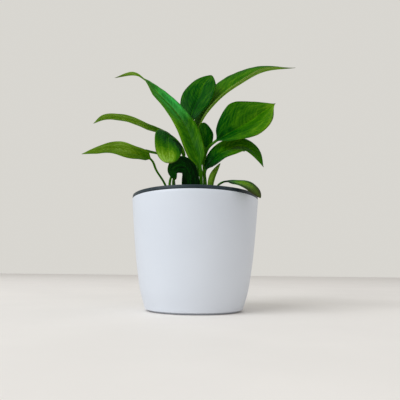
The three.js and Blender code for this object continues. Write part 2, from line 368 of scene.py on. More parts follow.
linerFinish = {
    # noise patterns: scale and detail
    "cloud": (35, 3),
    "grain": (1100, 2),
    "dust": (240, 4),
    "dustFrom": (0.55, 0.75),      # where its noise begins to be dust, and where it is all dust
    "dark": [(0.010, 0.020, 0.027), (0.018, 0.033, 0.042)],   # the cloud goes from one to the other
    "dustColour": (0.07, 0.08, 0.08),
    "dustCover": 0.3,
    "roughness": 0.32,
    "cloudRoughness": 0.15,
    "dustRoughness": 0.15,
    "specular": 0.3,
    "bump": (0.05, 0.4),           # depth and strength
}


def linerInside(height):
    # radius of the liner's inside at a height, in metres
    low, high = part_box("liner")
    floor = low.z + linerShape["wall"] * mm
    part = (height - floor) / (high.z - floor)
    return (lerp(linerShape["bottomRadius"], linerShape["topRadius"], part) - linerShape["wall"]) * mm


def darkPlastic():
    finish = linerFinish
    recipe = Recipe("darkLinerPlastic")
    cloud = recipe.noise(*finish["cloud"])
    grain = recipe.noise(*finish["grain"])
    dust = recipe.noise(*finish["dust"]).rise(*finish["dustFrom"])
    colour = recipe.mix(cloud.rise(*noiseSpread), *finish["dark"])
    uneven = cloud * finish["cloudRoughness"] + dust * finish["dustRoughness"]
    return recipe.finish(
        BaseColor=recipe.mix(dust * finish["dustCover"], colour, finish["dustColour"]),
        Roughness=uneven + finish["roughness"],
        Normal=recipe.bump(grain, *finish["bump"]),
        SpecularIORLevel=finish["specular"],
    )


def makeLiner():
    shape = linerShape
    low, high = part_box("liner")
    edge = shape["round"] * mm
    lip = shape["lipRadius"] * mm
    lipLow = high.z - shape["lipHeight"] * mm
    top = shape["topRadius"] * mm
    bottom = shape["bottomRadius"] * mm
    corner = shape["corner"] * mm
    floor = low.z + shape["wall"] * mm
    profile = [
        (0, low.z),
        (bottom - corner, low.z),
        (bottom - 0.3 * corner, low.z + 0.3 * corner),
        (bottom, low.z + corner),
        (top, lipLow - edge),
        (top + 0.3 * edge, lipLow),
        (lip - 0.3 * edge, lipLow),
        (lip, lipLow + 0.3 * edge),
        (lip, high.z - edge),
        (lip - 0.08 * edge, high.z - 0.6 * edge),
        (lip - 0.3 * edge, high.z - 0.3 * edge),
        (lip - 0.6 * edge, high.z - 0.08 * edge),
        (lip - edge, high.z),
        (linerInside(high.z) + edge, high.z),
        (linerInside(high.z) + 0.3 * edge, high.z - 0.25 * edge),
        (linerInside(high.z), high.z - edge),
        (linerInside(floor), floor),
        (0, floor),
    ]
    piece = makeTurned("liner_pot", profile, shape["steps"])
    drills = []
    for i in range(shape["holes"]):
        turn = 2 * math.pi * i / shape["holes"]
        spot = Vector((math.cos(turn), math.sin(turn), 0)) * shape["holeCircle"] * mm
        spot.z = low.z
        bpy.ops.mesh.primitive_cylinder_add(
            vertices=shape["holeSides"],
            radius=shape["holeRadius"] * mm,
            depth=shape["drillLength"] * mm,
            location=spot,
        )
        drills.append(bpy.context.object)
    for drill in drills:
        cut = piece.modifiers.new("drain", "BOOLEAN")
        cut.object = drill
        cut.operation = "DIFFERENCE"
    applyModifiers(piece)
    for drill in drills:
        bpy.data.objects.remove(drill)
    clearSelection()
    piece.select_set(True)
    bpy.context.view_layer.objects.active = piece
    bpy.ops.object.shade_smooth_by_angle(angle=math.radians(turnedDetail["smoothAngle"]))
    standFor(piece, "liner", darkPlastic())
    print("liner made")


soilShape = {
    "edgeHeight": 102.6,
    "middleHeight": 104.6,
    "base": 15,
    "gap": 0.25,                # between soil and liner
    "waves": 0.7,               # height of the slow and the quick waves
    "slowWaves": (4.3, 5.3),    # a wave's length along X and Y, divided by two pi
    "quickWaves": (2.4, 2.7),
    "crumble": 0.9,             # height of the crumbly surface
    "crumbles": [(5, 1, 0), (1.9, 0.7, 7), (0.9, 0.4, 3)],   # size, share of the height, noise layer
    "rings": 56,
    "steps": 220,
    "smoothAngle": 60,          # degrees
}

soilFinish = {
    # noise patterns: scale and detail
    "damp": (55, 4),
    "fleck": (520, 3),
    "fibreScale": 700,
    "dampFrom": (0.35, 0.65),   # wet below the first, dry above the second
    "fleckFrom": (0.56, 0.72),
    "peat": [(0.012, 0.008, 0.005), (0.045, 0.028, 0.017)],   # wet and dry
    "fleckColour": (0.105, 0.066, 0.036),
    "roughness": 0.95,
    "wetFrom": (0.6, 0.4),      # it begins to shine below the first
    "wetShine": 0.2,
    "fibreHeight": 0.5,         # where the fleck's is 1
    "bump": (0.5, 0.9),         # depth and strength
}


def soilHeight(x, y, reach):
    # height of the potting mix in millimetres, at a place in millimetres
    shape = soilShape
    part = math.hypot(x, y) / reach
    height = lerp(shape["middleHeight"], shape["edgeHeight"], part * part)
    slowX, slowY = shape["slowWaves"]
    quickX, quickY = shape["quickWaves"]
    slow = math.sin(x / slowX + 1.3) * math.cos(y / slowY)
    quick = math.sin(x / quickX - y / quickY)
    crumbly = 0
    for size, share, layer in shape["crumbles"]:
        crumbly += share * noise.noise(Vector((x / size, y / size, layer)))
    return height + shape["waves"] * (slow + quick / 2) + shape["crumble"] * crumbly


def pottingMix():
    finish = soilFinish
    recipe = Recipe("pottingMix")
    damp = recipe.noise(*finish["damp"])
    fleck = recipe.noise(*finish["fleck"])
    place = {"Vector": recipe.place(), "Scale": finish["fibreScale"]}
    fibre = recipe.node("ShaderNodeTexVoronoi", {"feature": "F1"}, place)
    colour = recipe.mix(damp.rise(*finish["dampFrom"]), *finish["peat"])
    return recipe.finish(
        BaseColor=recipe.mix(fleck.rise(*finish["fleckFrom"]), colour, finish["fleckColour"]),
        Roughness=finish["roughness"] - damp.rise(*finish["wetFrom"]) * finish["wetShine"],
        Normal=recipe.bump(fleck + fibre * finish["fibreHeight"], *finish["bump"]),
    )


def makeSoil():
    shape = soilShape
    edgeHeight = shape["edgeHeight"] * mm
    base = shape["base"] * mm
    gap = shape["gap"] * mm
    reach = linerInside(edgeHeight) - gap
    profile = [(0, base), (linerInside(base) - gap, base), (reach, edgeHeight)]
    for ring in range(shape["rings"] - 1, -1, -1):
        profile.append((reach * ring / shape["rings"], edgeHeight))
    piece = makeTurned("potting_mix", profile, shape["steps"])
    for vertex in piece.data.vertices:
        if vertex.co.z > edgeHeight - mm:    # the flat top
            vertex.co.z = soilHeight(vertex.co.x / mm, vertex.co.y / mm, reach / mm) * mm
    bpy.ops.object.shade_smooth_by_angle(angle=math.radians(shape["smoothAngle"]))
    standFor(piece, "soil", pottingMix())
    print("soil made")
    return reach


crumbShape = {
    "bark": 260,                  # how many flat chips of bark and peat lumps
    "barkSize": (1.0, 2.6),       # half their length, from and to
    "barkWidth": (0.45, 0.8),     # as parts of their size, as the next
    "barkHeight": (0.25, 0.5),
    "barkShade": (0.05, 0.7),
    "perlite": 110,               # how many pale grains
    "perliteSize": (0.6, 1.3),
    "perliteFlat": (1, 0.85, 0.8),
    "perliteShade": (0.9, 1.0),
    "ragged": (0.75, 1.2),        # how far their points lie in and out
    "lift": 0.35,                 # of the middle above the soil, as a part of their height
    "tilt": 0.5,                  # radians, to either side
    "edgeGap": 3,                 # from the liner to the middle of the nearest
    "seed": 11,
}

crumbFinish = {
    # read at a crumb's shade: bark is dark and perlite pale
    "shades": [
        (0.0, (0.018, 0.011, 0.007)),
        (0.45, (0.085, 0.047, 0.024)),
        (0.75, (0.17, 0.105, 0.055)),
        (0.85, (0.50, 0.48, 0.43)),
        (1.0, (0.68, 0.66, 0.61)),
    ],
    "speck": (900, 3),            # noise pattern: scale and detail
    "speckShade": 0.2,
    "roughness": 0.9,
    "paleShine": 0.05,
    "bump": (0.3, 0.8),           # depth and strength
}


def crumbSkin():
    finish = crumbFinish
    recipe = Recipe("barkAndPerlite")
    shade = recipe.attribute("shade")
    speck = recipe.noise(*finish["speck"])
    tone = shade + (speck - 0.5) * finish["speckShade"]
    return recipe.finish(
        BaseColor=recipe.node("ShaderNodeValToRGB", {"stops": finish["shades"]}, {"Fac": tone}),
        Roughness=finish["roughness"] - shade * finish["paleShine"],
        Normal=recipe.bump(speck, *finish["bump"]),
    )


def makeCrumbs(reach):
    shape = crumbShape
    draw = random.Random(shape["seed"])
    clearSelection()
    bpy.ops.mesh.primitive_ico_sphere_add(subdivisions=1, radius=1)
    model = bpy.context.object
    copies = []
    for i in range(shape["bark"] + shape["perlite"]):
        pale = i >= shape["bark"]
        size = draw.uniform(*shape["perliteSize" if pale else "barkSize"]) * mm
        away = (reach - shape["edgeGap"] * mm) * math.sqrt(draw.random())
        turn = draw.uniform(0, 2 * math.pi)
        x, y = away * math.cos(turn), away * math.sin(turn)
        crumb = model.copy()
        crumb.data = model.data.copy()
        bpy.context.scene.collection.objects.link(crumb)
        for vertex in crumb.data.vertices:
            vertex.co *= draw.uniform(*shape["ragged"])
        if pale:
            flat = shape["perliteFlat"]
        else:
            flat = (1, draw.uniform(*shape["barkWidth"]), draw.uniform(*shape["barkHeight"]))
        height = soilHeight(x / mm, y / mm, reach / mm) * mm + size * flat[2] * shape["lift"]
        lie = Matrix.Rotation(draw.uniform(0, 2 * math.pi), 4, "Z")
        lean = Matrix.Rotation(draw.uniform(-shape["tilt"], shape["tilt"]), 4, "X")
        stretch = Matrix.Diagonal((*(Vector(flat) * size), 1))
        crumb.data.transform(Matrix.Translation((x, y, height)) @ lie @ lean @ stretch)
        shadeValue = draw.uniform(*shape["perliteShade" if pale else "barkShade"])
        shadeLayer = crumb.data.attributes.new("shade", "FLOAT", "POINT")
        shadeLayer.data.foreach_set("value", [shadeValue] * len(crumb.data.vertices))
        copies.append(crumb)
    bpy.data.objects.remove(model)
    clearSelection()
    for crumb in copies:
        crumb.select_set(True)
    bpy.context.view_layer.objects.active = copies[0]
    bpy.ops.object.join()
    piece = bpy.context.object
    piece.name = "bark_and_perlite"
    piece.data.materials.clear()
    piece.data.materials.append(crumbSkin())
    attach(piece, "root")
    print("bark and perlite scattered")


# leaves, whose left and right are as seen from the base
# foot: where the stalk leaves the soil. stalk and blade: points on the leaf's middle line.
# wide: where the blade is widest, from 0 at its base to 1 at its tip. point: how sharply it
# narrows. tip: how many times sharper it does so towards the tip. skew: how much wider its right
# half is near the base than near the tip.
# fold: how far the halves rise from the midrib, in degrees. curl: by how much less at the edges.
# roll: the blade's turn about its middle line in degrees, at even steps from the base to the tip.
# wave: height of the edges' waves, as a part of the half width.
# thick: the stalk's radius at the blade. sheath: half its width at the foot.
# tone: how light the blade is painted at its base, middle and tip, from 0 to 1: painted shade and
# painted light, along with its own lighter and darker green. lean: how much lighter its right half is
# painted, as
# painted light. margins: how much lighter its left and right margins are; the darker ones are painted
# shade.
# cool: a painted sheen, the bluish reflection of the light, at its base, middle and tip, above all in
# the right half.
# dry: where its tip begins to brown.

usualLeaf = {
    "wide": 0.42, "point": 1.4, "tip": 1, "skew": 0, "fold": 16, "curl": 18, "roll": (0, 0),
    "wave": 0.04, "thick": 1.3, "sheath": 1.9, "slot": "leaf_green", "tone": (0.3, 0.4, 0.45),
    "lean": 0, "margins": (0, 0), "cool": (0, 0, 0), "dry": 0.96,
}

# each leaf's tone, lean and margins paint its light and shade: leaves and parts of leaves in shadow are
# painted darker, sunlit ones lighter
leaves = {
    "leaf_long_left": {
        "foot": (5.8, -10), "stalk": [(5.8, -10, 127)], "thick": 1.8, "sheath": 2.4,
        "blade": [
            (5, -9, 143), (-2.5, -6, 168), (-11, -2, 191), (-26, 6, 215), (-43, 14, 236),
            (-61.5, 22, 259), (-77, 28, 269), (-100, 34, 267),
        ],
        "width": 23.5, "wide": 0.28, "point": 1.2, "fold": 24, "curl": 20,
        "roll": (-82, -60, -50, -46, 2, 35), "tone": (0.46, 0.4, 0.62), "margins": (0.14, 0.04),
        # its cool numbers paint a bluish sheen, the reflection of the light, on the middle of the blade
        "cool": (-2.2, 1.0, -0.6), "dry": 0.88,
    },
    "leaf_upright_back": {
        "foot": (-7, 9), "stalk": [(-6, 9, 131), (-7, 9, 170)], "thick": 1.6, "sheath": 3.4,
        "blade": [(-8, 9, 200), (0.5, 18, 233), (8, 25, 255), (17, 30, 270)],
        "width": 41, "wide": 0.56, "point": 0.95, "tip": 1.75, "curl": 20, "roll": (28, 28),
        "slot": "leaf_dark", "tone": (0.2, 0.3, 0.4), "margins": (0.06, 0.02),
    },
    "leaf_small_back": {
        "foot": (9, 11), "stalk": [(9, 9.5, 140), (8, 9, 158)], "sheath": 1.8, "thick": 1,
        "blade": [(10.5, 9, 172), (10, 10, 188), (9, 13, 203)],
        "width": 20, "wide": 0.5, "point": 1.15, "fold": 14, "curl": 14, "roll": (10, 10),
        "slot": "leaf_dark", "tone": (0.3, 0.3, 0.32), "margins": (0.12, -0.05),
    },
    "leaf_long_right": {
        "foot": (1, 9), "stalk": [(2, 15, 151)], "thick": 1.6, "sheath": 2.4,
        "blade": [
            (0, 21, 190), (7, 25, 213), (28, 30, 241.5), (52, 36, 262.5), (82, 42, 282),
            (124, 50, 292),
        ],
        "width": 51, "wide": 0.53, "point": 1.5, "tip": 2.2, "fold": 28, "curl": 14,
        "roll": (15, 20, 25, 28, 32, 32), "tone": (0.5, 0.54, 0.52), "lean": 0.06,
        "margins": (-0.12, 0.1), "dry": 0.84,
    },
    "leaf_broad_right": {
        "foot": (13, 4), "stalk": [(10.5, 5, 130), (9, 5.5, 155), (13, 4, 170)],
        "thick": 1.4, "sheath": 2.2,
        "blade": [(21, 0, 176.5), (50, 7, 197.2), (92, 24, 232)],
        "width": 58, "wide": 0.5, "point": 1.5, "tip": 1.65, "skew": 0.5, "fold": 28, "curl": 20,
        "roll": (58, 54), "tone": (0.18, 0.44, 0.62), "margins": (-0.06, 0.16), "dry": 0.93,
    },
    # its dark base is painted shade, where it lies in shadow under the broad right leaf
    "leaf_drooping_right": {
        "foot": (12, -6), "stalk": [(10, -5, 126)], "thick": 1.4, "sheath": 2,
        "blade": [
            (10, -6, 142), (18, -5.5, 153), (27, -1, 163), (38, 5, 170.5), (47, 9, 174.5),
            (56, 10, 173.5), (64.3, 8, 166.5), (73.5, 6, 149.5),
        ],
        "width": 29, "wide": 0.5, "point": 1.05, "tip": 2.1, "fold": 18, "curl": 20,
        "roll": (48, 50, 72), "tone": (0.06, 0.5, 0.44), "margins": (-0.05, 0.05),
    },
    "leaf_mid_left": {
        "foot": (-15, 4), "stalk": [(-24, 4, 130), (-18, 4, 150), (-12, 3, 161)],
        "blade": [(-23, 2, 180), (-54, 8, 195), (-86, 13, 207), (-105, 17, 209), (-118, 20, 203)],
        "width": 30, "wide": 0.47, "point": 1.3, "tip": 1.4, "fold": 12, "curl": 16,
        "tone": (0.3, 0.54, 0.6), "margins": (0.06, -0.04),
    },
    # its near-black base and dark left margin are painted shade, the band where the blade curls over in
    # shadow
    "leaf_hanging_front": {
        "foot": (-19, -5), "stalk": [(-27, -4, 128), (-20, -4, 147), (-13, -5, 157)],
        "blade": [(-16, -14, 164), (-20, -26, 168), (-26, -38, 167), (-25, -52, 152), (-23, -57, 135)],
        "width": 28, "wide": 0.6, "point": 1.0, "fold": 12, "curl": 20, "roll": (-55, -15),
        "sheath": 2.8, "slot": "leaf_light", "tone": (0.0, 0.14, 0.84), "lean": 0.02,
        "margins": (-0.42, 0.08),
    },
    "leaf_low_left": {
        "foot": (-25, -1), "stalk": [(-32, 0, 128), (-41.5, -2, 143)], "thick": 1.2, "sheath": 1.8,
        "blade": [(-47, -4, 154), (-65, -8, 160), (-89, -12, 163), (-118, -15, 156)],
        "width": 28.5, "wide": 0.33, "point": 1.1, "tip": 1.3, "fold": 12, "curl": 16,
        "roll": (14, 14), "wave": 0.06, "slot": "leaf_light", "tone": (0.32, 0.55, 0.52),
        "margins": (0.06, -0.06),
    },
    "leaf_behind_left": {
        "foot": (-20, 9), "stalk": [(-23, 8, 131), (-26, 12, 150)], "sheath": 1.7,
        "blade": [(-37, 20, 166), (-53, 30, 173), (-76, 42, 178)],
        "width": 18, "point": 1.3, "fold": 12, "curl": 16, "slot": "leaf_dark",
    },
    # its dark tones are painted shade: its underside is seen in shadow
    "leaf_folded_front": {
        "foot": (-6, -12), "stalk": [], "thick": 2, "sheath": 3,
        "blade": [
            (-5, -13, 110), (-5, -15, 126), (-6, -16, 136), (-9, -18, 142), (-14, -21, 144),
            (-20.5, -25, 141), (-23, -28, 135), (-19.5, -30, 126),
        ],
        "width": 20, "wide": 0.35, "point": 0.75, "fold": 12, "curl": 10, "roll": (-135, -65),
        "slot": "leaf_dark", "tone": (0.06, 0.12, 0.22),
    },
    "leaf_young_right": {
        "foot": (18, -2), "stalk": [], "thick": 1.9, "sheath": 2,
        "blade": [(16, -2, 119), (18, -3, 136), (26, -5, 151)],
        "width": 9, "wide": 0.45, "point": 1.3, "fold": 40, "curl": 0, "roll": (-60, -60),
        "wave": 0, "slot": "leaf_light", "tone": (0.4, 0.45, 0.5), "lean": 0.2,
    },
    # its dark base and dark margins are painted shade
    "leaf_small_rim": {
        "foot": (18, -13), "stalk": [(21, -26, 120)], "thick": 1.1, "sheath": 1.7,
        "blade": [(28, -34, 124), (42, -47, 120), (52, -55, 113), (59, -60, 103)],
        "width": 19, "wide": 0.5, "point": 1.3, "fold": 12, "curl": 20, "roll": (20, 20),
        "wave": 0.05, "tone": (0.05, 0.68, 0.5), "margins": (-0.5, -0.5), "dry": 0.2,
    },
    "leaf_arching_back": {
        "foot": (1, 17), "stalk": [(2, 18, 130)], "sheath": 2,
        "blade": [(2, 22, 150), (4, 45, 183), (5, 75, 203), (6, 100, 194)],
        "width": 21, "fold": 18, "curl": 20, "wave": 0.05,
    },
    "leaf_low_back_left": {
        "foot": (-9, 16), "stalk": [(-12, 22, 117)], "thick": 1.2, "sheath": 1.8,
        "blade": [(-18, 32, 127), (-34, 52, 133), (-52, 74, 124), (-60, 88, 108)],
        "width": 26, "fold": 18, "curl": 20, "wave": 0.05,
    },
    "leaf_low_back_right": {
        "foot": (11, 17), "stalk": [(14, 24, 117)], "thick": 1.2, "sheath": 1.8,
        "blade": [(20, 34, 128), (38, 56, 132), (52, 80, 122), (58, 92, 106)],
        "width": 26, "fold": 18, "curl": 20, "wave": 0.05, "slot": "leaf_dark",
    },
}

leafDetail = {
    "columns": 28,          # faces across each side of a blade
    "stalkRows": 20,
    "bladeRows": 96,
    "rowSpacing": 0.92,     # below 1, the rows are closer together towards the tip
    "samples": 400,         # steps in which a middle line is measured
    "merge": 0.001,         # points closer together than this are merged
    # stalk
    "rootDepth": 12,        # below the soil's middle
    "footLift": 1,          # height above the soil at which the stalk starts to lean
    "sheathLength": 0.7,    # part of the stalk over which the sheath narrows
    "sheathCup": 0.5,       # how far its edges turn up
    "channel": 0.35,        # depth of the groove in its upper side, in stalk radii
    "knee": 0.14,           # how much thicker the stalk is just below the blade
    "kneeFrom": (0.72, 0.86),
    "kneeTo": (0.9, 1),
    # midrib
    "ribWidth": 1.6,        # in stalk radii, as the next three
    "ribDepth": 1.05,
    "groove": 0.3,          # above the midrib
    "ribEdge": 0.8,         # half the blade's width where there is only the midrib
    "ribTaper": 0.8,        # below 1, it keeps its thickness for longer
    "ribColumns": 0.3,      # part of a half's faces that lies on the midrib
    "ribShare": 0.4,        # part of the half width that the midrib takes at most
    # blade
    "outlinePower": 1.15,   # above 1, every blade narrows more sharply
    "join": 0.083,         # the part of the blade over which the stalk opens out into it
    "thickness": 0.42,
    "edgePower": 10,        # the higher, the blunter the blade's edge
    "wavesAlong": 2,
    "waveShift": 1.9,       # between the waves of the two edges, in radians
    "flutter": 0.35,        # small unevenness of the edges
    "flutterLength": 9,
    "flutterSpan": 6,       # a blade with a smaller half width flutters less
    "veins": 13,            # side veins in each half
    "veinReach": 1.5,       # how far forward they run, in half widths
    "veinBend": 1.5,        # above 1, they bend forward towards the edge
    "quilt": 0.22,          # how far the blade bulges between its side veins
    "quiltFrom": (0.06, 0.3),   # of the way from the midrib to the edge, as the next
    "quiltTo": (0.8, 1),
    "quiltSpan": 8,         # a blade with a smaller half width bulges less
}


def halfWidth(leaf, along):
    wide = leaf["wide"]
    rise = (along / wide) ** wide
    fall = ((1 - along) / (1 - wide)) ** (1 - wide)
    sharpness = leaf["point"] * leafDetail["outlinePower"] * (leaf["tip"] if along > wide else 1)
    return leaf["width"] / 2 * (rise * fall) ** sharpness


def rollAt(leaf, along):
    turns = leaf["roll"]
    place = along * (len(turns) - 1)
    step = min(int(place), len(turns) - 2)
    return lerp(turns[step], turns[step + 1], place - step)


class LeafPath:
    # a leaf's middle line, up the stalk and along the midrib, read by its length
    def __init__(self, leaf):
        height = soilShape["middleHeight"] + leafDetail["footLift"]
        self.points = [Vector(p) for p in [(*leaf["foot"], height), *leaf["stalk"], *leaf["blade"]]]
        self.samples = leafDetail["samples"]
        line = [curvePoint(self.points, i / self.samples) for i in range(self.samples + 1)]
        self.lengths = [0]
        for a, b in zip(line, line[1:]):
            self.lengths.append(self.lengths[-1] + (b - a).length)
        baseNumber = 1 + len(leaf["stalk"])
        baseShare = baseNumber / (len(self.points) - 1)
        self.bladeStart = self.lengths[round(self.samples * baseShare)] / self.lengths[-1]
        self.bladeLength = self.lengths[-1] * (1 - self.bladeStart)
        heading = self.points[-1] - self.points[baseNumber]
        self.level = Vector((heading.y, -heading.x, 0)).normalized()

    def share(self, at):
        # the curve's own share at a part of its length
        wanted = at * self.lengths[-1]
        low, high = 0, self.samples
        while high - low > 1:
            middle = (low + high) // 2
            if self.lengths[middle] <= wanted:
                low = middle
            else:
                high = middle
        part = (wanted - self.lengths[low]) / (self.lengths[high] - self.lengths[low])
        return (low + part) / self.samples

    def ring(self, at, roll):
        # the place, the direction across and the direction up at a part of the length
        share = self.share(at)
        nearby = 0.0002    # of the whole curve
        centre = curvePoint(self.points, share)
        ahead = curvePoint(self.points, min(1, share + nearby))
        behind = curvePoint(self.points, max(0, share - nearby))
        tangent = (ahead - behind).normalized()
        side = (self.level - self.level.dot(tangent) * tangent).normalized()
        side = Matrix.Rotation(math.radians(roll), 3, tangent) @ side
        return centre, side, side.cross(tangent)


def stalkPoint(leaf, part, column, face):
    # part is 0 at the foot and 1 at the blade. column is -1 at the left edge and 1 at the right,
    # and face is 1 above and -1 below.
    detail = leafDetail
    narrowed = min(1, part / detail["sheathLength"])
    knee = 1 + detail["knee"] * smooth(part, *detail["kneeFrom"]) * (1 - smooth(part, *detail["kneeTo"]))
    thick = leaf["thick"] * knee
    width = lerp(leaf["sheath"], leaf["thick"], narrowed) * knee
    across = width * math.sin(column * math.pi / 2)
    height = thick * math.cos(column * math.pi / 2) * face
    if face > 0:
        height *= 1 - detail["channel"] * math.cos(column * math.pi / 2) ** 2
    height += detail["sheathCup"] * (width - thick) * abs(column) ** 3
    return across, height


def veinPhase(leaf, path, along, out):
    # counts the side veins from the base: whole numbers lie on a vein
    reach = leafDetail["veinReach"] * leaf["width"] / 2 / path.bladeLength
    return (along - reach * out ** leafDetail["veinBend"]) * leafDetail["veins"]


def bladePoint(leaf, path, along, column, face):
    # along is 0 at the blade's base and 1 at its tip, and column and face are as on the stalk. The
    # last number that it returns is 0 on the midrib and 1 at the edge.
    detail = leafDetail
    left = column < 0
    rib = leaf["thick"] * (1 - along) ** detail["ribTaper"]
    span = math.hypot(halfWidth(leaf, along), detail["ribEdge"] * rib)
    if column > 0:
        span *= 1 + leaf["skew"] * (0.5 - along)
    ribSpan = min(detail["ribWidth"] * rib, detail["ribShare"] * span)
    inner = detail["ribColumns"]
    away = abs(column)
    if away < inner:
        distance = ribSpan * away / inner
    else:
        distance = lerp(ribSpan, span, (away - inner) / (1 - inner))
    out = distance / span
    angle = math.radians(leaf["fold"] - leaf["curl"] * out / 2)
    ripple = math.sin(2 * math.pi * detail["wavesAlong"] * along + (detail["waveShift"] if left else 0))
    lift = span * (out * math.sin(angle) + leaf["wave"] * out * out * ripple)
    ahead = along * path.bladeLength / detail["flutterLength"]
    flutter = noise.noise(Vector((ahead, 3 if left else 8, leaf["foot"][0])))
    lift += detail["flutter"] * flutter * out**2 * min(1, span / detail["flutterSpan"])
    crease = (0.5 + 0.5 * math.cos(2 * math.pi * veinPhase(leaf, path, along, out))) ** 3
    crease *= smooth(out, *detail["quiltFrom"]) * (1 - smooth(out, *detail["quiltTo"]))
    lift -= detail["quilt"] * crease * min(1, span / detail["quiltSpan"])
    height = lift + detail["thickness"] / 2 * max(0, 1 - out ** detail["edgePower"]) ** 0.5 * face
    near = 0.5 + 0.5 * math.cos(math.pi * min(1, distance / max(ribSpan, 1e-6)))
    if face > 0:
        height -= detail["groove"] * rib * near**2
    else:
        height -= detail["ribDepth"] * rib * near
    across = distance * math.cos(angle) * (-1 if left else 1)
    return across, height, out


def alongBlade(numbers, along):
    # from three numbers, at the base, the middle and the tip, the one at a place between them
    base, middle, tip = numbers
    return lerp(base, middle, smooth(along, 0, 0.5)) + (tip - middle) * smooth(along, 0.5, 1)


# painted light and shade along and across the blade, together with the leaf's own lighter and darker
# green
def leafTone(leaf, along, column):
    left, right = leaf["margins"]
    margin = (0.45, 0.95)
    tone = alongBlade(leaf["tone"], along) + leaf["lean"] * smooth(column, -0.3, 0.3)
    return tone + left * smooth(-column, *margin) + right * smooth(column, *margin)


def leafRings(leaf, path):
    # for each row of the grid: the part of the stalk, the part of the blade or None, and the ring's
    # place and directions. The first two rows are the root in the soil.
    detail = leafDetail
    root = Vector((*leaf["foot"], soilShape["middleHeight"] - detail["rootDepth"]))
    rootRing = (0, None, (root, path.level, path.level.cross(Vector((0, 0, 1)))))
    rings = [rootRing, rootRing]
    for row in range(detail["stalkRows"] + 1):
        part = row / detail["stalkRows"]
        rings.append((part, None, path.ring(path.bladeStart * part, leaf["roll"][0])))
    for row in range(1, detail["bladeRows"] + 1):
        along = (row / detail["bladeRows"]) ** detail["rowSpacing"]
        rings.append((1, along, path.ring(lerp(path.bladeStart, 1, along), rollAt(leaf, along))))
    return rings


def makeLeaf(node, leaf):
    # a flat grid is wrapped round the leaf: its first half is the upper side, its second the lower
    clearSelection()
    columns = leafDetail["columns"]
    path = LeafPath(leaf)
    rings = leafRings(leaf, path)
    rows = len(rings) - 1
    bpy.ops.mesh.primitive_grid_add(x_subdivisions=2 * columns, y_subdivisions=rows, size=1)
    piece = bpy.context.object
    piece.name = node.replace("leaf_", "") + "_leaf"
    names = "across", "along", "upper", "vein", "tone", "cool", "dry"
    values = {name: [] for name in names}
    for vertex in piece.data.vertices:
        number = round((vertex.co.x + 0.5) * 2 * columns)
        row = round((vertex.co.y + 0.5) * rows)
        face = 1 if number <= columns else -1
        column = 2 * number / columns - 1 if face > 0 else 3 - 2 * number / columns
        part, along, (centre, side, up) = rings[row]
        out = abs(column)
        if row == 0 or along == 1:
            across, height = 0, 0    # closed at both ends
        elif along is None:
            across, height = stalkPoint(leaf, part, column, face)
        else:
            across, height, out = bladePoint(leaf, path, along, column, face)
            stalkAcross, stalkHeight = stalkPoint(leaf, 1, column, face)
            opened = smooth(along, 0, leafDetail["join"])
            across = lerp(stalkAcross, across, opened)
            height = lerp(stalkHeight, height, opened)
        vertex.co = (centre + across * side + height * up) * mm
        place = along or 0
        # painted sheen, strongest in the right half
        cool = max(0, alongBlade(leaf["cool"], place)) * smooth(column, -1.2, 0.2)
        values["across"].append(math.copysign(out, column))
        values["along"].append(part - 1 if along is None else along)
        values["upper"].append(0.5 if abs(column) == 1 else (1 if face > 0 else 0))
        values["vein"].append(veinPhase(leaf, path, place, out))
        values["tone"].append(leafTone(leaf, place, column))
        values["cool"].append(cool)
        values["dry"].append(smooth(place, leaf["dry"], 1))
    for name, numbers in values.items():
        layer = piece.data.attributes.new(name, "FLOAT", "POINT")
        layer.data.foreach_set("value", numbers)
    bpy.ops.object.mode_set(mode="EDIT")
    bpy.ops.mesh.select_all(action="SELECT")
    bpy.ops.mesh.remove_doubles(threshold=leafDetail["merge"] * mm)
    bpy.ops.mesh.normals_make_consistent(inside=False)
    bpy.ops.object.mode_set(mode="OBJECT")
    bpy.ops.object.shade_smooth()
    return piece


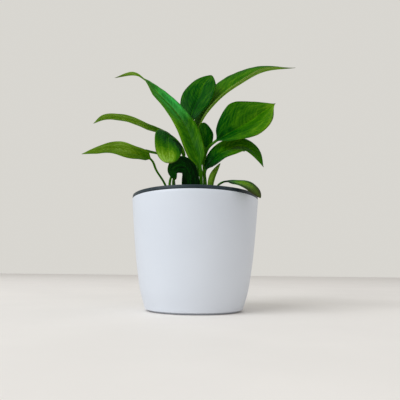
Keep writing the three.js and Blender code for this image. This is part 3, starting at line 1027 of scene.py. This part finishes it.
leafFinish = {
    # from shaded to sunlit: the colour is read at a leaf's tone
    "tones": [
        (0.0, (0.0008, 0.012, 0.0010)),
        (0.25, (0.0015, 0.062, 0.0008)),
        (0.5, (0.034, 0.145, 0.0010)),
        (0.75, (0.120, 0.260, 0.006)),
        (1.0, (0.240, 0.430, 0.060)),
    ],
    "slotTone": {"leaf_dark": -0.04, "leaf_green": 0.0, "leaf_light": 0.04},
    "underTone": 0.20,          # how much lighter the underside is
    "upperFrom": (0.2, 0.8),    # from the underside's colour to the upper side's, round the edge
    "mottle": 0.20,             # pale and dark patches
    "streamTone": 0.12,         # streaks that follow the side veins
    "lineTone": 0.15,           # streaks along the blade
    "veinTone": 0.08,
    "veinFrom": (0.35, 0.7),    # the patches where the veins show
    "veinSharpness": 12,
    "ribTone": 0.12,
    "ribEdge": (0.01, 0.055),   # of the way from the midrib to the edge, as the next
    "marginEdge": (0.965, 1.0),
    "marginTone": 0.16,
    "stalkTone": 0.45,
    "stalkStreak": 0.3,
    "sheathTone": 0.66,
    "sheathEnd": (-0.95, -0.45),    # on the stalk, from -1 at the foot to 0 at the blade
    # the colour of the painted sheen, a bluish reflection of the light
    "coolGreen": (0.035, 0.37, 0.062),
    "coolFrom": (0.02, 0.2),
    "dryTip": (0.050, 0.045, 0.016),
    "dryCover": 0.75,
    "dryMargin": 0.55,          # how brown the edges get towards the tip
    # noise patterns: scale and detail
    "patch": (60, 3),
    "tissue": (900, 2),
    "fibre": (260, 2),
    "stream": (1, 2),
    "lines": (1, 2),
    "streamStretch": (2.6, 1.1, 15),    # along the count of veins, across and by the leaf's tone
    "lineStretch": (6.5, 2.2, 4),       # across, along and by the leaf's tone
    "streakFrom": (0.36, 0.66),         # where a streak begins to be pale, and where it is all pale
    # surface
    "roughness": 0.50,
    "waxSmoothness": 0.18,      # how much smoother the upper side is
    "fibreRoughness": 0.12,
    "bump": (0.06, 0.6),        # depth and strength
    "tissueHeight": 0.5,
    "creaseHeight": 0.6,        # four fine creases to a side vein
    "specular": 0.01,
    "glow": 0.18,               # how much light goes through the blade
    "glowReach": 0.8,
    "glowColours": (1.0, 1.0, 0.35),
    "wax": 0.015,               # the shine of the upper side
    "patchWax": 0.05,
    "waxFrom": (0.3, 0.7),      # as upperFrom, for the wax
    "waxRoughness": 0.26,
}


def leafSkin(slot):
    finish = leafFinish
    recipe = Recipe(slot.replace("_", "") + "Skin")
    across = recipe.attribute("across")
    along = recipe.attribute("along")
    upper = recipe.attribute("upper")
    vein = recipe.attribute("vein")
    out = abs(across)
    ownTone = recipe.attribute("tone")
    blade = along.rise(0.0, 0.03)
    patch = recipe.noise(*finish["patch"])
    tissue = recipe.noise(*finish["tissue"])
    fibre = recipe.noise(*finish["fibre"])
    a, b, c = finish["streamStretch"]
    alongVeins = recipe.vector(vein * a, across * b, ownTone * c)
    stream = recipe.noise(*finish["stream"], alongVeins).rise(*finish["streakFrom"])
    a, b, c = finish["lineStretch"]
    alongLeaf = recipe.vector(across * a, along * b, ownTone * c)
    lines = recipe.noise(*finish["lines"], alongLeaf).rise(*finish["streakFrom"])
    veinLine = ((vein * (2 * math.pi)).cosine() * 0.5 + 0.5) ** finish["veinSharpness"]
    crease = ((vein * (8 * math.pi)).cosine() * 0.5 + 0.5) ** 3
    ribLine = (1 - out.rise(*finish["ribEdge"])) * blade
    edgeLine = out.rise(*finish["marginEdge"]) * blade

    # the leaf's tone carries its painted light and shade; the paler underside, patches, streaks, veins,
    # midrib and edges added below are its own colour
    tone = ownTone + finish["slotTone"][slot]
    tone = tone + (1 - upper.rise(*finish["upperFrom"])) * finish["underTone"]
    tone = tone + (patch - 0.5) * finish["mottle"]
    tone = tone + (stream - 0.5) * finish["streamTone"] + (lines - 0.5) * finish["lineTone"]
    tone = tone + veinLine * patch.rise(*finish["veinFrom"]) * finish["veinTone"]
    tone = tone + ribLine * finish["ribTone"] + edgeLine * finish["marginTone"]
    sheath = (1 - along.rise(*finish["sheathEnd"])) * (finish["sheathTone"] - finish["stalkTone"])
    uneven = (lines - 0.5) * finish["stalkStreak"] + (patch - 0.5) * finish["stalkStreak"]
    stalkTone = sheath + finish["stalkTone"] + uneven
    tone = stalkTone + (tone - stalkTone) * blade

    colour = recipe.node("ShaderNodeValToRGB", {"stops": finish["tones"]}, {"Fac": tone})
    # painted sheen: a bluish reflection of the light, mixed into the leaf's colour
    cool = recipe.attribute("cool") * out.rise(*finish["coolFrom"])
    cool = cool * (lines * 0.4 + stream * 0.3 + 0.3)
    colour = recipe.mix(cool, colour, finish["coolGreen"])
    dryMargin = out.rise(0.9, 1.0) * along.rise(0.5, 0.9) * finish["dryMargin"]
    dry = (recipe.attribute("dry") * finish["dryCover"]).largest(dryMargin)
    smoother = upper * finish["waxSmoothness"]
    height = tissue * finish["tissueHeight"] - crease * finish["creaseHeight"]
    return recipe.finish(
        BaseColor=recipe.mix(dry, colour, finish["dryTip"]),
        Roughness=finish["roughness"] - smoother + (fibre - 0.5) * finish["fibreRoughness"],
        Normal=recipe.bump(height, *finish["bump"]),
        SubsurfaceWeight=finish["glow"],
        SubsurfaceRadius=finish["glowColours"],
        SubsurfaceScale=finish["glowReach"] * mm,
        SpecularIORLevel=finish["specular"],
        CoatWeight=upper.rise(*finish["waxFrom"]) * (patch * finish["patchWax"] + finish["wax"]),
        CoatRoughness=finish["waxRoughness"],
    )


def makeLeaves():
    skins = {slot: leafSkin(slot) for slot in leafFinish["slotTone"]}
    for node, given in leaves.items():
        leaf = {**usualLeaf, **given}
        piece = makeLeaf(node, leaf)
        standFor(piece, node, skins[leaf["slot"]])
    print(len(leaves), "leaves made")


# floor and light

stageSetup = {
    # metres
    "floorSize": 12,
    "keyPlace": (-2.25, -1.9, 2.5),
    "keyAim": (0, 0, 0.15),
    "keySize": 2.75,
    # colours and strengths
    "keyPower": 96,
    "keyColour": (0.90, 0.96, 1.0),
    "sky": (0.605, 0.605, 0.59),          # what lights the plant from all round
    "backdrop": (0.69, 0.675, 0.635),     # what shows past the floor
    "floor": (0.88, 0.83, 0.79),
    "floorCloud": (7, 5),                 # noise pattern: scale and detail, as the next
    "floorGrain": (60, 3),
    "cloudFrom": (0.35, 0.65),
    "cloudShade": 0.97,                   # of the floor's colour, in the clouds
    "roughness": 0.5,
    "grainRoughness": 0.2,
}


def paleFloor():
    setup = stageSetup
    recipe = Recipe("paleFloor")
    cloud = recipe.noise(*setup["floorCloud"])
    grain = recipe.noise(*setup["floorGrain"])
    deeper = tuple(channel * setup["cloudShade"] for channel in setup["floor"])
    return recipe.finish(
        BaseColor=recipe.mix(cloud.rise(*setup["cloudFrom"]), deeper, setup["floor"]),
        Roughness=grain * setup["grainRoughness"] + setup["roughness"],
    )


def makeStage():
    clearSelection()
    bpy.ops.mesh.primitive_plane_add(size=stageSetup["floorSize"])
    floor = bpy.context.object
    floor.name = "floor"
    floor.data.materials.append(paleFloor())
    world = bpy.data.worlds.new("softRoom")
    bpy.context.scene.world = world
    world.use_nodes = True
    tree = world.node_tree
    ray = tree.nodes.new("ShaderNodeLightPath")
    choice = tree.nodes.new("ShaderNodeMix")
    choice.data_type = "RGBA"
    choice.inputs[6].default_value = (*stageSetup["sky"], 1)
    choice.inputs[7].default_value = (*stageSetup["backdrop"], 1)
    tree.links.new(ray.outputs["Is Camera Ray"], choice.inputs[0])
    tree.links.new(choice.outputs[2], tree.nodes["Background"].inputs["Color"])
    bpy.ops.object.light_add(type="AREA", location=stageSetup["keyPlace"])
    key = bpy.context.object
    key.name = "windowLight"
    key.data.size = stageSetup["keySize"]
    key.data.energy = stageSetup["keyPower"]
    key.data.color = stageSetup["keyColour"]
    aim = Vector(stageSetup["keyAim"]) - key.location
    key.rotation_euler = aim.to_track_quat("-Z", "Y").to_euler()
    print("floor and light set")


makeCamera()
makePlanter()
makeLiner()
soilReach = makeSoil()
makeCrumbs(soilReach)
makeLeaves()
makeStage()
